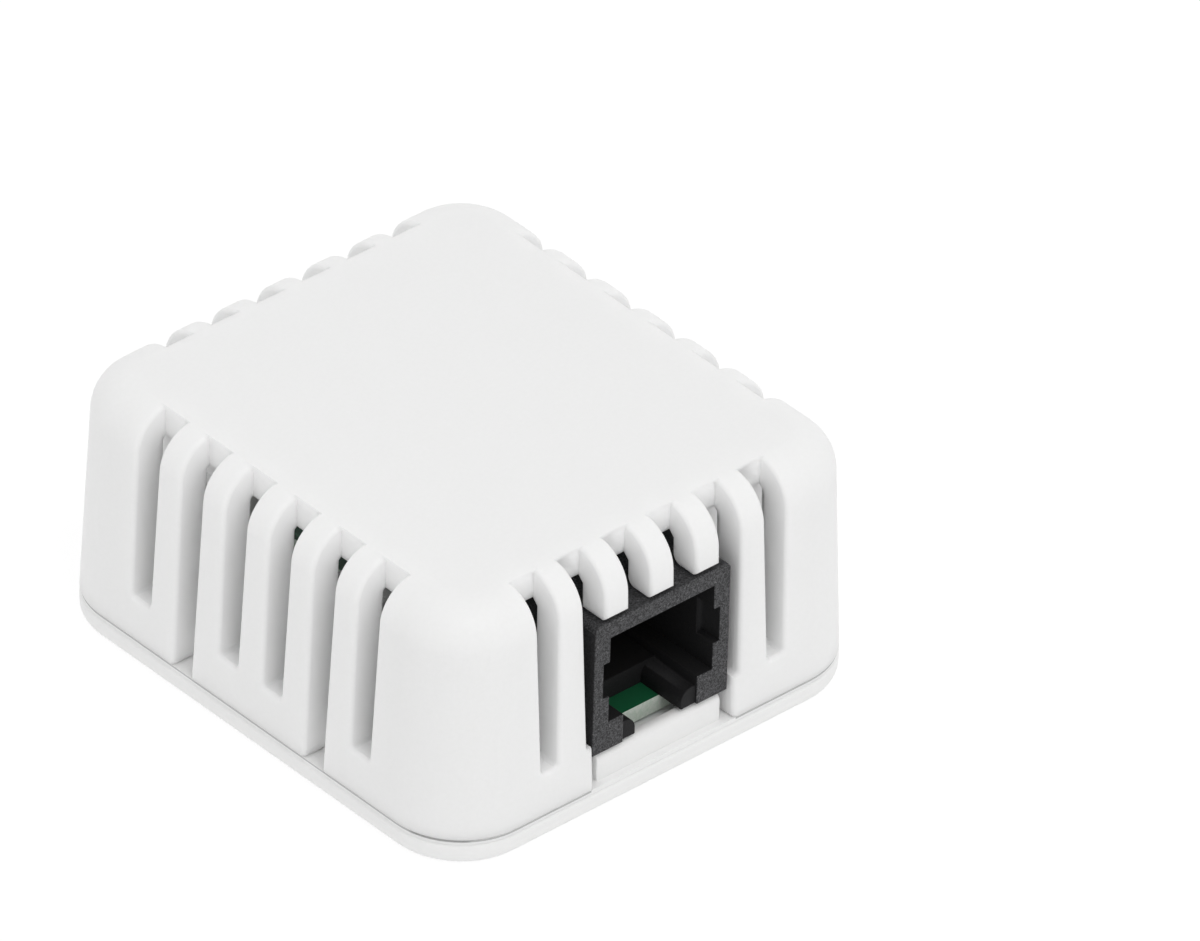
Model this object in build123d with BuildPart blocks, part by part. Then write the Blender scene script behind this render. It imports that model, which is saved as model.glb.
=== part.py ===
from build123d import *
import os

# Ventilated room sensor for temperature and humidity, in millimetres.
# The origin is the bottom centre, +Z is up and the modular jack opens towards -Y.

os.makedirs("parts", exist_ok=True)

# One overrun carries every cut past the face that it opens.
overrun = 1.0

# Case: outer size at the seam, draft and edges
case_width = 48.0
case_depth = 53.2
case_height = 25.0
corner_radius = 7.2
draft_angle = 2.4
wall = 3.0
top_plate = 2.4
top_edge_radius = 3.9
inner_edge_chamfer = 1.0

# Base: flange under the seam, the narrower strip that the cover stands over, and the floor
flange_height = 2.2
flange_edge_chamfer = 0.25
foot_edge_radius = 1.2
strip_height = 0.5
strip_inset = 0.08
seam_gap = 0.12
floor_thickness = 1.8

# Inner lip of the base, which centres the cover, and its snap barbs
lip_gap = 0.15
lip_thickness = 1.2
lip_height = 2.1
barb_length = 5.6
barb_rise = 0.4
barb_height = 0.8
barb_drop = 0.5
catch_gap = 0.2

# Vent slots: each side has a row of them, widening upwards and open over the top edge
slots_per_side = 6
front_slot_pitch = 5.13
side_slot_pitch = 5.72
front_slot_top = 2.6
front_slot_foot = 1.8
side_slot_top = 2.9
side_slot_foot = 2.4
slot_floor_height = 6.9
slot_corner_chamfer = 0.3
front_slot_reach = 4.4
side_slot_reach = 4.05
side_tongue_slots = (1, 4)

# Modular jack: body, plug cavity, side notches, latch shelves
jack_width = 15.3
jack_depth = 15.9
jack_setback = 0.7
jack_top_room = 6.0
jack_top_bar = 1.7
jack_side_wall = 1.75
jack_cavity_depth = 11.6
jack_notch_depth = 2.2
jack_notch_side = 0.7
jack_notch_height = 3.6
jack_notch_drop = 2.5
jack_shelf_height = 2.9
jack_shelf_width = 1.7
jack_guide_width = 1.6
jack_guide_height = 1.9
jack_guide_setback = 0.25
jack_guide_radius = 1.2
jack_pocket_depth = 5.4
jack_floor_height = 2.1
jack_edge_radius = 0.6
jack_peg_radius = 0.75
jack_peg_length = 2.6
jack_peg_back = 8.2

# Contact wires and the insert that combs them
contact_count = 8
contact_pitch = 1.02
contact_gauge = 0.46
contact_roof_skin = 0.6
contact_bend_reach = 0.6
contact_front = 3.4
contact_tip_share = 0.59
contact_tail_length = 3.0
contact_row_gap = 1.7
carrier_gap = 0.1
comb_slot_width = 0.66
comb_slot_depth = 0.8
comb_rear_depth = 2.75

# Opening of the cover round the jack
opening_gap = 0.3
rib_end_gap = 0.25
rib_end_radius = 0.9

# Sill of the base under the jack
sill_side_gap = 0.95
sill_setback = 0.8
sill_thickness = 1.1
sill_gap = 0.3
sill_radius = 0.7

# Circuit board with its front tab and the rear tongue that carries the sensor
board_thickness = 1.6
board_height = 4.0
board_gap = 0.3
board_length = 28.9
board_corner = 1.6
board_tab_inset = 1.35
board_tab_back = 3.1
tongue_width = 13.0
tongue_tip_gap = 2.3
relief_width = 1.2
relief_length = 8.0
relief_back = 1.8

# Board screws and the bosses that hold them
boss_radius = 2.3
boss_inset = 2.9
screw_radius = 1.0
screw_length = 5.0
screw_head_radius = 1.9
screw_head_height = 1.3
screw_hole_gap = 0.2
thread_gap = 0.03
screw_recess_width = 0.45
screw_recess_length = 2.2
screw_recess_depth = 0.7
pilot_floor = 0.5

# Wall screws through the base
wall_screw_inset = 9.5
wall_screw_back = 13.5
wall_screw_radius = 1.7
wall_screw_sink_radius = 3.2
wall_boss_radius = 4.2
wall_boss_height = 0.6
tongue_rest_radius = 1.6

# Gaps of the holes in the board
tail_hole_gap = 0.15
peg_hole_gap = 0.1
header_hole_gap = 0.2
small_hole_sides = 12

# Programming header
header_pin_count = 5
header_pitch = 2.54
header_pin_width = 0.64
header_block_width = 2.5
header_block_height = 2.5
header_block_chamfer = 0.4
header_pin_length = 8.6
header_tail_length = 2.8

# Chips with bent leads: microcontroller, line driver, voltage regulator
chip_lift = 0.1
chip_chamfer = 0.12
chip_dimple_radius = 0.3
chip_dimple_depth = 0.08
controller_side = 7.0
controller_height = 1.4
controller_lead_count = 8
controller_lead_pitch = 0.8
controller_lead_width = 0.34
controller_lead_gauge = 0.15
controller_lead_reach = 1.0
controller_lead_foot = 0.5
driver_length = 4.9
driver_width = 3.9
driver_height = 1.45
driver_lead_count = 4
driver_lead_pitch = 1.27
driver_lead_width = 0.42
driver_lead_gauge = 0.2
driver_lead_reach = 1.05
driver_lead_foot = 0.6
regulator_length = 6.5
regulator_width = 3.5
regulator_height = 1.6
regulator_lead_count = 3
regulator_lead_pitch = 2.3
regulator_lead_width = 0.7
regulator_lead_gauge = 0.28
regulator_lead_reach = 1.75
regulator_lead_foot = 0.9
regulator_tab_width = 3.0

# Electrolytic capacitor
can_radius = 3.15
can_height = 6.6
can_top_chamfer = 0.35
can_groove_depth = 0.25
can_groove_width = 0.6
can_groove_height = 1.1
can_base_side = 6.6
can_base_height = 0.9
can_base_chamfer = 1.4

# Power inductor, protection diodes, resettable fuse and crystal
inductor_side = 5.0
inductor_height = 2.9
inductor_corner = 1.1
inductor_well_radius = 1.9
inductor_well_depth = 0.3
diode_length = 2.8
diode_width = 1.8
diode_height = 1.35
diode_chamfer = 0.2
diode_lead_width = 1.0
diode_lead_gauge = 0.18
diode_lead_reach = 0.55
diode_lead_foot = 0.35
fuse_length = 3.7
fuse_width = 3.2
fuse_height = 0.9
crystal_length = 3.2
crystal_width = 2.5
crystal_height = 0.9
crystal_chamfer = 0.2

# Small ceramic chip parts and the status light
chip_part_length = 1.3
chip_part_width = 1.2
resistor_height = 0.55
ceramic_height = 0.85
end_cap_length = 0.35
end_cap_rise = 0.05
led_base_height = 0.35
led_lens_length = 1.2
led_lens_height = 0.5
led_lens_chamfer = 0.2

# Sensing chip with its port and filter membrane
sensor_side = 3.0
sensor_height = 1.1
sensor_tip_inset = 3.2
sensor_port_radius = 1.0
sensor_port_depth = 0.3
membrane_gap = 0.04
membrane_height = 0.22
sensor_pad_count = 4
sensor_pad_pitch = 0.65
sensor_pad_width = 0.34
sensor_pad_length = 0.3
sensor_pad_height = 0.22
tongue_part_spread = 7.4
tongue_part_share = 0.37

# Places on the board: shares of its half width and of its length from the front
header_share = (-0.13, 0.92)
controller_share = (0.27, 0.645)
driver_share = (-0.207, 0.58)
can_share = (-0.69, 0.675)
inductor_share = (0.70, 0.46)
crystal_share = (0.69, 0.69)
led_share = (0.44, 0.926)
ceramic_shares = ((-0.393, 0.815), (-0.253, 0.815), (-0.114, 0.815), (0.60, 0.79), (0.77, 0.79))
resistor_shares = ((-0.393, 0.739), (-0.253, 0.739), (-0.114, 0.739))

# Places beside the jack: shares from its side to the board's edge, and of the board's length
regulator_share = (-0.50, 0.43)
fuse_share = (-0.37, 0.245)
diode_shares = ((0.33, 0.315), (0.33, 0.225))

# Derived levels
seam_height = flange_height + strip_height + seam_gap
cover_height = case_height - seam_height
ceiling_height = case_height - top_plate
lip_top = seam_height + lip_height
board_top = board_height + board_thickness
jack_top = case_height - jack_top_room
jack_height = jack_top - board_top
contact_tip_height = contact_tip_share * jack_height
sill_top = board_top - sill_gap
rib_end_height = jack_top + rib_end_gap

# Derived plan lines
jack_face = -(case_depth / 2 - jack_setback)
jack_back = jack_face + jack_depth
jack_cavity_width = jack_width - 2 * jack_side_wall
jack_shelf_inner = jack_cavity_width / 2 - jack_shelf_width
front_slot_end = case_depth / 2 - front_slot_reach
side_slot_end = case_width / 2 - side_slot_reach
lip_inset = wall + lip_gap
lip_inner_inset = lip_inset + lip_thickness
lip_corner = corner_radius - lip_inset
tray_corner = lip_corner - lip_thickness
wall_screw_spacing = case_width - 2 * wall_screw_inset
board_width = case_width - 2 * (lip_inner_inset + board_gap)
board_front = -(case_depth / 2 - lip_inner_inset - board_gap)
board_back = board_front + board_length
tongue_tip = case_depth / 2 - lip_inner_inset - tongue_tip_gap
tongue_length = tongue_tip - board_back
board_tab_front = jack_face + board_tab_back
opening_width = jack_width + 2 * opening_gap
sill_width = opening_width - 2 * sill_side_gap
board_tab_width = jack_width - 2 * board_tab_inset
barb_height_centre = lip_top - barb_drop - barb_height / 2
catch_depth = barb_rise + catch_gap
catch_reach = case_width / 2 - wall + (catch_depth - overrun) / 2


def board_spot(across_share, along_share):
    """A place on the board: shares of its half width and of its length from the front edge."""
    return (across_share * board_width / 2, board_front + along_share * board_length)


def beside_jack_spot(room_share, along_share):
    """A place beside the jack, on the left where the share of the room there is negative."""
    jack_side = jack_width / 2 if room_share > 0 else -jack_width / 2
    across = jack_side + room_share * (board_width - jack_width) / 2
    return (across, board_front + along_share * board_length)


def slot_row(count, pitch):
    """Centres of a row of slots, evenly spaced about the middle."""
    return [(index - (count - 1) / 2) * pitch for index in range(count)]


def slot_cutter(top_width, foot_width, reach, runs_out):
    """A tapering slot, standing in XZ with its closed end at y = 0 and its mouth towards -Y."""
    rise = case_height - slot_floor_height
    flare = (top_width - foot_width) / (2 * rise)
    low = seam_height - overrun if runs_out else slot_floor_height
    high = case_height + overrun
    low_half = foot_width / 2 + (low - slot_floor_height) * flare
    high_half = foot_width / 2 + (high - slot_floor_height) * flare
    with BuildPart() as cutter:
        with BuildSketch(Plane.XZ) as profile:
            with BuildLine():
                Polyline(
                    (-low_half, low),
                    (low_half, low),
                    (high_half, high),
                    (-high_half, high),
                    close=True,
                )
            make_face()
            if not runs_out:
                chamfer(profile.vertices().group_by(Axis.Y)[0], slot_corner_chamfer)
        extrude(amount=reach + overrun)
    return cutter.part


def gull_lead(reach, rise, width, foot, gauge):
    """One bent lead: it leaves a body along +X at a height, drops, and ends in a flat foot."""
    drop = reach - foot
    with BuildPart() as lead:
        with BuildSketch(Plane.XZ):
            with BuildLine():
                Polyline(
                    (0, rise),
                    (drop, rise),
                    (drop, gauge),
                    (reach, gauge),
                    (reach, 0),
                    (drop - gauge, 0),
                    (drop - gauge, rise - gauge),
                    (0, rise - gauge),
                    close=True,
                )
            make_face()
        extrude(amount=width / 2, both=True)
    return lead.part


def lead_places(centre, half_size, pitch, count, angles):
    """Places on the board of the leads along the sides of a body, one row for each angle."""
    places = []
    for angle in angles:
        for offset in slot_row(count, pitch):
            row = Location((centre[0], centre[1], board_top), (0, 0, angle))
            places.append(row * Location((half_size, offset, 0)))
    return places


def finish(builder, name):
    """Label a finished piece and write it out."""
    builder.part.label = name
    export_step(builder.part, f"parts/{name}.step")


# Cavity of the cover: its drafted inner space with a bevelled ceiling edge
with BuildPart() as cavity:
    with BuildSketch(Plane.XY.offset(seam_height)):
        RectangleRounded(case_width - 2 * wall, case_depth - 2 * wall, corner_radius - wall)
    extrude(amount=ceiling_height - seam_height, taper=draft_angle)
    chamfer(cavity.faces().sort_by(Axis.Z)[-1].edges(), inner_edge_chamfer)

front_cutter = slot_cutter(front_slot_top, front_slot_foot, front_slot_reach, False)
side_cutter = slot_cutter(side_slot_top, side_slot_foot, side_slot_reach, False)
tongue_cutter = slot_cutter(side_slot_top, side_slot_foot, side_slot_reach, True)

# Cover: drafted shell with a rounded top edge, vent slots on all sides and the jack opening
with BuildPart() as top_cover:
    with BuildSketch(Plane.XY.offset(seam_height)):
        RectangleRounded(case_width, case_depth, corner_radius)
    extrude(amount=cover_height, taper=draft_angle)
    fillet(top_cover.faces().sort_by(Axis.Z)[-1].edges(), top_edge_radius)
    add(cavity.part, mode=Mode.SUBTRACT)
    for x in slot_row(slots_per_side, front_slot_pitch):
        with Locations(
            Location((x, -front_slot_end, 0)),
            Location((x, front_slot_end, 0), (0, 0, 180)),
        ):
            add(front_cutter, mode=Mode.SUBTRACT)
    for index, y in enumerate(slot_row(slots_per_side, side_slot_pitch)):
        with Locations(
            Location((-side_slot_end, y, 0), (0, 0, -90)),
            Location((side_slot_end, y, 0), (0, 0, 90)),
        ):
            add(tongue_cutter if index in side_tongue_slots else side_cutter, mode=Mode.SUBTRACT)

    # The jack opening runs down to the seam and cuts the ribs over the jack short
    with BuildSketch(Plane.XZ.offset(front_slot_end)):
        with Locations((0, seam_height - overrun)):
            Rectangle(
                opening_width,
                rib_end_height - seam_height + overrun,
                align=(Align.CENTER, Align.MIN),
            )
    extrude(amount=front_slot_reach + overrun, mode=Mode.SUBTRACT)

    # Inner corners of the short ribs right of the middle, rounded over the jack
    rib_ends = top_cover.edges().filter_by(Axis.X).filter_by_position(
        Axis.Z, rib_end_height - rib_end_gap / 2, rib_end_height + rib_end_gap / 2
    )
    inner_ends = rib_ends.filter_by(lambda edge: edge.center().Y > -case_depth / 2 + wall / 2)
    fillet(inner_ends.filter_by(lambda edge: edge.center().X > -front_slot_pitch / 2), rib_end_radius)

    # Catch grooves over the barbs of the base, on the inner face of both side tongues
    with BuildSketch(Plane.XY.offset(seam_height)):
        with Locations((-catch_reach, 0), (catch_reach, 0)):
            Rectangle(catch_depth + overrun, barb_length + 2 * catch_gap)
    extrude(amount=lip_top + catch_gap - seam_height, mode=Mode.SUBTRACT)
finish(top_cover, "top_cover")

# Base: flange, strip, tray with its inner lip, sill, bosses and wall screw holes
with BuildPart() as base_plate:
    with BuildSketch():
        RectangleRounded(case_width, case_depth, corner_radius)
    extrude(amount=flange_height)
    fillet(base_plate.faces().sort_by(Axis.Z)[0].edges(), foot_edge_radius)
    chamfer(base_plate.faces().sort_by(Axis.Z)[-1].edges(), flange_edge_chamfer)
    with BuildSketch(Plane.XY.offset(flange_height)):
        RectangleRounded(
            case_width - 2 * strip_inset,
            case_depth - 2 * strip_inset,
            corner_radius - strip_inset,
        )
    extrude(amount=strip_height)
    with BuildSketch(Plane.XY.offset(floor_thickness)):
        RectangleRounded(
            case_width - 2 * lip_inner_inset,
            case_depth - 2 * lip_inner_inset,
            tray_corner,
        )
    extrude(amount=lip_top, mode=Mode.SUBTRACT)

    # Inner lip, open at the front where the board's tab passes over it
    with BuildSketch(Plane.XY.offset(flange_height)):
        RectangleRounded(case_width - 2 * lip_inset, case_depth - 2 * lip_inset, lip_corner)
        RectangleRounded(
            case_width - 2 * lip_inner_inset,
            case_depth - 2 * lip_inner_inset,
            tray_corner,
            mode=Mode.SUBTRACT,
        )
    extrude(amount=lip_top - flange_height)
    with Locations((0, -case_depth / 2 + lip_inset, board_height - board_gap)):
        Box(
            board_tab_width + 2 * board_gap,
            2 * lip_thickness + overrun,
            lip_height + overrun,
            align=(Align.CENTER, Align.CENTER, Align.MIN),
            mode=Mode.SUBTRACT,
        )

    # Sill that fills the foot of the jack opening, its outer top edge rounded
    with BuildSketch(Plane.YZ) as sill_section:
        with Locations((-case_depth / 2 + sill_setback, flange_height)):
            Rectangle(sill_thickness, sill_top - flange_height, align=(Align.MIN, Align.MIN))
        fillet(sill_section.vertices().group_by(Axis.Y)[-1].sort_by(Axis.X)[0], sill_radius)
    extrude(amount=sill_width / 2, both=True)

    # Barbs on the side lips
    with Locations(
        (case_width / 2 - lip_inset, 0, barb_height_centre),
        (-case_width / 2 + lip_inset, 0, barb_height_centre),
    ):
        Box(2 * (barb_rise + lip_gap), barb_length, barb_height)

    # Screw bosses with pilot holes, the rest under the tongue and the wall screw bosses
    boss_spots = [
        (x_side * (board_width / 2 - boss_inset), y)
        for x_side in (-1, 1)
        for y in (board_front + boss_inset, board_back - boss_inset)
    ]
    with BuildSketch(Plane.XY.offset(floor_thickness)):
        with Locations(*boss_spots):
            Circle(boss_radius)
        with Locations((0, tongue_tip - 2 * tongue_rest_radius)):
            Circle(tongue_rest_radius)
    extrude(amount=board_height - floor_thickness)
    with BuildSketch(Plane.XY.offset(floor_thickness)):
        with Locations(
            (-wall_screw_spacing / 2, wall_screw_back),
            (wall_screw_spacing / 2, wall_screw_back),
        ):
            Circle(wall_boss_radius)
    extrude(amount=wall_boss_height)
    with BuildSketch(Plane.XY.offset(pilot_floor)):
        with Locations(*boss_spots):
            Circle(screw_radius + thread_gap)
    extrude(amount=board_height, mode=Mode.SUBTRACT)
    with Locations(
        (-wall_screw_spacing / 2, wall_screw_back, floor_thickness + wall_boss_height),
        (wall_screw_spacing / 2, wall_screw_back, floor_thickness + wall_boss_height),
    ):
        CounterSinkHole(wall_screw_radius, wall_screw_sink_radius)
finish(base_plate, "base_plate")

# Circuit board: outline with the front tab and rear tongue, relief slots, holes
tail_spots = [
    (x, jack_back - contact_row_gap / 2 - (contact_row_gap if index % 2 else 0))
    for index, x in enumerate(slot_row(contact_count, contact_pitch))
]
peg_spots = [
    (x_side * (jack_width + jack_cavity_width) / 4, jack_face + jack_peg_back) for x_side in (-1, 1)
]
header_spot = board_spot(*header_share)

with BuildPart() as circuit_board:
    with BuildSketch(Plane.XY.offset(board_height)) as outline:
        with Locations((0, board_front + board_length / 2)):
            Rectangle(board_width, board_length)
        chamfer(outline.vertices(), board_corner)
        with Locations((0, board_tab_front)):
            Rectangle(
                board_tab_width,
                board_front + board_length / 2 - board_tab_front,
                align=(Align.CENTER, Align.MIN),
            )
        with Locations((0, board_back - board_corner)):
            Rectangle(
                tongue_width,
                tongue_length + board_corner,
                align=(Align.CENTER, Align.MIN),
            )
        chamfer(outline.vertices().group_by(Axis.Y)[-1], board_corner)
        with Locations((0, board_back + relief_back)):
            SlotOverall(relief_length, relief_width, mode=Mode.SUBTRACT)
        with Locations(*boss_spots):
            Circle(screw_radius + screw_hole_gap, mode=Mode.SUBTRACT)
        with Locations(*tail_spots):
            RegularPolygon(
                contact_gauge / 2 + tail_hole_gap,
                small_hole_sides,
                mode=Mode.SUBTRACT,
            )
        with Locations(*peg_spots):
            Circle(jack_peg_radius + peg_hole_gap, mode=Mode.SUBTRACT)
        with Locations(header_spot):
            with GridLocations(header_pitch, header_pitch, header_pin_count, 1):
                RegularPolygon(
                    header_pin_width / 2 + header_hole_gap,
                    small_hole_sides,
                    mode=Mode.SUBTRACT,
                )
    extrude(amount=board_thickness)
finish(circuit_board, "circuit_board")

# Screws that hold the board: pan head with a cross recess, plain shank
with BuildPart() as board_screws:
    with BuildSketch(Plane.XY.offset(board_top)):
        with Locations(*boss_spots):
            Circle(screw_head_radius)
    extrude(amount=screw_head_height)
    chamfer(board_screws.faces().group_by(Axis.Z)[-1].edges(), screw_head_height / 2)
    with BuildSketch(Plane.XY.offset(board_top - screw_length)):
        with Locations(*boss_spots):
            Circle(screw_radius)
    extrude(amount=screw_length)
    with BuildSketch(Plane.XY.offset(board_top + screw_head_height - screw_recess_depth)):
        with Locations(*boss_spots):
            Rectangle(screw_recess_length, screw_recess_width)
            Rectangle(screw_recess_width, screw_recess_length)
    extrude(amount=screw_recess_depth + overrun, mode=Mode.SUBTRACT)
finish(board_screws, "board_screws")

# Jack housing: a block open at the front and back, with notches, shelves and a latch pocket
cavity_top = jack_top - jack_top_bar
roof_top = jack_top - contact_roof_skin
wire_band = (contact_count - 1) * contact_pitch + comb_slot_width
with BuildPart() as jack_housing:
    with BuildSketch(Plane.XZ.offset(-jack_face)) as jack_section:
        with Locations((0, board_top)):
            Rectangle(jack_width, jack_height, align=(Align.CENTER, Align.MIN))
        fillet(jack_section.vertices().group_by(Axis.Y)[-1], jack_edge_radius)
    extrude(amount=-jack_depth)
    with Locations((0, jack_face - overrun, board_top - overrun)):
        Box(
            jack_cavity_width,
            jack_depth + 2 * overrun,
            cavity_top - board_top + overrun,
            align=(Align.CENTER, Align.MIN, Align.MIN),
            mode=Mode.SUBTRACT,
        )
    with Locations((0, jack_face - overrun, cavity_top - jack_notch_drop)):
        Box(
            jack_cavity_width + 2 * jack_notch_side,
            jack_notch_depth + overrun,
            jack_notch_height,
            align=(Align.CENTER, Align.MIN, Align.MAX),
            mode=Mode.SUBTRACT,
        )

    # Pocket in the roof where the contact wires run
    with Locations((0, jack_face + contact_front - 2 * contact_gauge, cavity_top - overrun)):
        Box(
            wire_band,
            jack_depth,
            roof_top - cavity_top + overrun,
            align=(Align.CENTER, Align.MIN, Align.MIN),
            mode=Mode.SUBTRACT,
        )

    # Shelves that carry the plug, lower guides for its latch with rounded inner edges
    carrier_front = jack_face + jack_cavity_depth
    for x_side in (-1, 1):
        with Locations((x_side * (jack_shelf_inner + jack_shelf_width / 2), jack_face, board_top)):
            Box(
                jack_shelf_width,
                jack_cavity_depth - carrier_gap,
                jack_shelf_height,
                align=(Align.CENTER, Align.MIN, Align.MIN),
            )
        with BuildSketch(Plane.XZ.offset(-jack_face - jack_guide_setback)) as guide_section:
            with Locations((x_side * (jack_shelf_inner - jack_guide_width / 2), board_top)):
                Rectangle(
                    jack_guide_width,
                    jack_guide_height,
                    align=(Align.CENTER, Align.MIN),
                )
            inner_corner = guide_section.vertices().group_by(Axis.Y)[-1].sort_by(Axis.X)
            fillet(inner_corner[0 if x_side > 0 else -1], jack_guide_radius)
        extrude(amount=jack_guide_setback - jack_pocket_depth)

    # Floor behind the latch pocket, and the pegs under the side walls
    with Locations((0, jack_face + jack_pocket_depth, board_top)):
        Box(
            jack_cavity_width,
            jack_cavity_depth - jack_pocket_depth - carrier_gap,
            jack_floor_height,
            align=(Align.CENTER, Align.MIN, Align.MIN),
        )
    with BuildSketch(Plane.XY.offset(board_top)):
        with Locations(*peg_spots):
            Circle(jack_peg_radius)
    extrude(amount=-jack_peg_length)
finish(jack_housing, "jack_housing")

# Contact carrier: closes the back of the jack and combs the wires, front and back
carrier_back = jack_back - carrier_gap
with BuildPart() as jack_contact_carrier:
    with Locations((0, carrier_front, board_top)):
        Box(
            jack_cavity_width - 2 * carrier_gap,
            carrier_back - carrier_front,
            cavity_top - carrier_gap - board_top,
            align=(Align.CENTER, Align.MIN, Align.MIN),
        )
    wire_xs = slot_row(contact_count, contact_pitch)
    with Locations(*[(x, carrier_front, cavity_top) for x in wire_xs]):
        Box(
            comb_slot_width,
            2 * comb_slot_depth,
            2 * (jack_height - contact_tip_height),
            mode=Mode.SUBTRACT,
        )
    with Locations(*[(x, carrier_back, (cavity_top + board_top) / 2) for x in wire_xs]):
        Box(
            comb_slot_width,
            2 * comb_rear_depth,
            jack_height,
            mode=Mode.SUBTRACT,
        )
finish(jack_contact_carrier, "jack_contact_carrier")

# Contact wires: up the back, forward under the roof, round a bend and down to a free tip
wire_high = roof_top - contact_gauge
with BuildPart() as jack_contacts:
    for x, tail in zip(wire_xs, tail_spots):
        with BuildLine(Plane.YZ.offset(x)) as wire_path:
            Polyline(
                (tail[1], board_top - contact_tail_length),
                (tail[1], wire_high - contact_bend_reach),
                (tail[1] - contact_bend_reach, wire_high),
                (jack_face + contact_front, wire_high),
                (jack_face + contact_front - contact_gauge, wire_high - contact_gauge),
                (jack_face + contact_front, wire_high - 2 * contact_gauge),
                (carrier_front + comb_slot_depth / 2, board_top + contact_tip_height),
            )
        with BuildSketch(Plane.XY.offset(board_top - contact_tail_length)):
            with Locations(tail):
                Rectangle(contact_gauge, contact_gauge)
        sweep(path=wire_path.line, transition=Transition.RIGHT)
finish(jack_contacts, "jack_contacts")

# Microcontroller: square body with a pin-one dimple, and leads on all four sides
controller_spot = board_spot(*controller_share)
with BuildPart() as microcontroller:
    with Locations((*controller_spot, board_top + chip_lift)):
        Box(
            controller_side,
            controller_side,
            controller_height,
            align=(Align.CENTER, Align.CENTER, Align.MIN),
        )
    chamfer(microcontroller.faces().sort_by(Axis.Z)[-1].edges(), chip_chamfer)
    dimple = controller_side / 2 - 4 * chip_dimple_radius
    with Locations(
        (
            controller_spot[0] - dimple,
            controller_spot[1] - dimple,
            board_top + chip_lift + controller_height,
        )
    ):
        Cylinder(chip_dimple_radius, 2 * chip_dimple_depth, mode=Mode.SUBTRACT)
finish(microcontroller, "microcontroller")

controller_lead = gull_lead(
    controller_lead_reach,
    chip_lift + controller_height / 2,
    controller_lead_width,
    controller_lead_foot,
    controller_lead_gauge,
)
with BuildPart() as microcontroller_leads:
    with Locations(
        *lead_places(
            controller_spot,
            controller_side / 2,
            controller_lead_pitch,
            controller_lead_count,
            (0, 90, 180, 270),
        )
    ):
        add(controller_lead)
finish(microcontroller_leads, "microcontroller_leads")

# Line driver: a small body with four leads on each long side
driver_spot = board_spot(*driver_share)
with BuildPart() as line_driver:
    with Locations((*driver_spot, board_top + chip_lift)):
        Box(
            driver_length,
            driver_width,
            driver_height,
            align=(Align.CENTER, Align.CENTER, Align.MIN),
        )
    chamfer(line_driver.faces().sort_by(Axis.Z)[-1].edges(), chip_chamfer)
    with Locations(
        (
            driver_spot[0] - driver_length / 2 + 3 * chip_dimple_radius,
            driver_spot[1] - driver_width / 2 + 3 * chip_dimple_radius,
            board_top + chip_lift + driver_height,
        )
    ):
        Cylinder(chip_dimple_radius, 2 * chip_dimple_depth, mode=Mode.SUBTRACT)
finish(line_driver, "line_driver")

driver_lead = gull_lead(
    driver_lead_reach,
    chip_lift + driver_height / 2,
    driver_lead_width,
    driver_lead_foot,
    driver_lead_gauge,
)
with BuildPart() as line_driver_leads:
    with Locations(
        *lead_places(
            driver_spot,
            driver_width / 2,
            driver_lead_pitch,
            driver_lead_count,
            (90, 270),
        )
    ):
        add(driver_lead)
finish(line_driver_leads, "line_driver_leads")

# Voltage regulator: three leads on one side and the wide heat tab on the other
regulator_spot = beside_jack_spot(*regulator_share)
with BuildPart() as voltage_regulator:
    with Locations((*regulator_spot, board_top + chip_lift)):
        Box(
            regulator_length,
            regulator_width,
            regulator_height,
            align=(Align.CENTER, Align.CENTER, Align.MIN),
        )
    chamfer(voltage_regulator.faces().sort_by(Axis.Z)[-1].edges(), 2 * chip_chamfer)
finish(voltage_regulator, "voltage_regulator")

regulator_rise = chip_lift + regulator_height / 2
with BuildPart() as regulator_leads:
    with Locations(
        *lead_places(
            regulator_spot,
            regulator_width / 2,
            regulator_lead_pitch,
            regulator_lead_count,
            (270,),
        )
    ):
        add(
            gull_lead(
                regulator_lead_reach,
                regulator_rise,
                regulator_lead_width,
                regulator_lead_foot,
                regulator_lead_gauge,
            )
        )
    with Locations(*lead_places(regulator_spot, regulator_width / 2, 0, 1, (90,))):
        add(
            gull_lead(
                regulator_lead_reach,
                regulator_rise,
                regulator_tab_width,
                regulator_lead_foot,
                regulator_lead_gauge,
            )
        )
finish(regulator_leads, "regulator_leads")

# Electrolytic capacitor: moulded base with two cut corners, and the rolled can on it
can_spot = board_spot(*can_share)
with BuildPart() as capacitor_base:
    with BuildSketch(Plane.XY.offset(board_top)) as base_outline:
        with Locations(can_spot):
            Rectangle(can_base_side, can_base_side)
        chamfer(base_outline.vertices().group_by(Axis.X)[0], can_base_chamfer)
    extrude(amount=can_base_height)
finish(capacitor_base, "capacitor_base")

with BuildPart() as capacitor_can:
    with BuildSketch(Plane.XY.offset(board_top + can_base_height)):
        with Locations(can_spot):
            Circle(can_radius)
    extrude(amount=can_height)
    chamfer(capacitor_can.faces().sort_by(Axis.Z)[-1].edges(), can_top_chamfer)
    with BuildSketch(Plane.XY.offset(board_top + can_base_height + can_groove_height)):
        with Locations(can_spot):
            Circle(can_radius + overrun)
            Circle(can_radius - can_groove_depth, mode=Mode.SUBTRACT)
    extrude(amount=can_groove_width, mode=Mode.SUBTRACT)
finish(capacitor_can, "capacitor_can")

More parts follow.
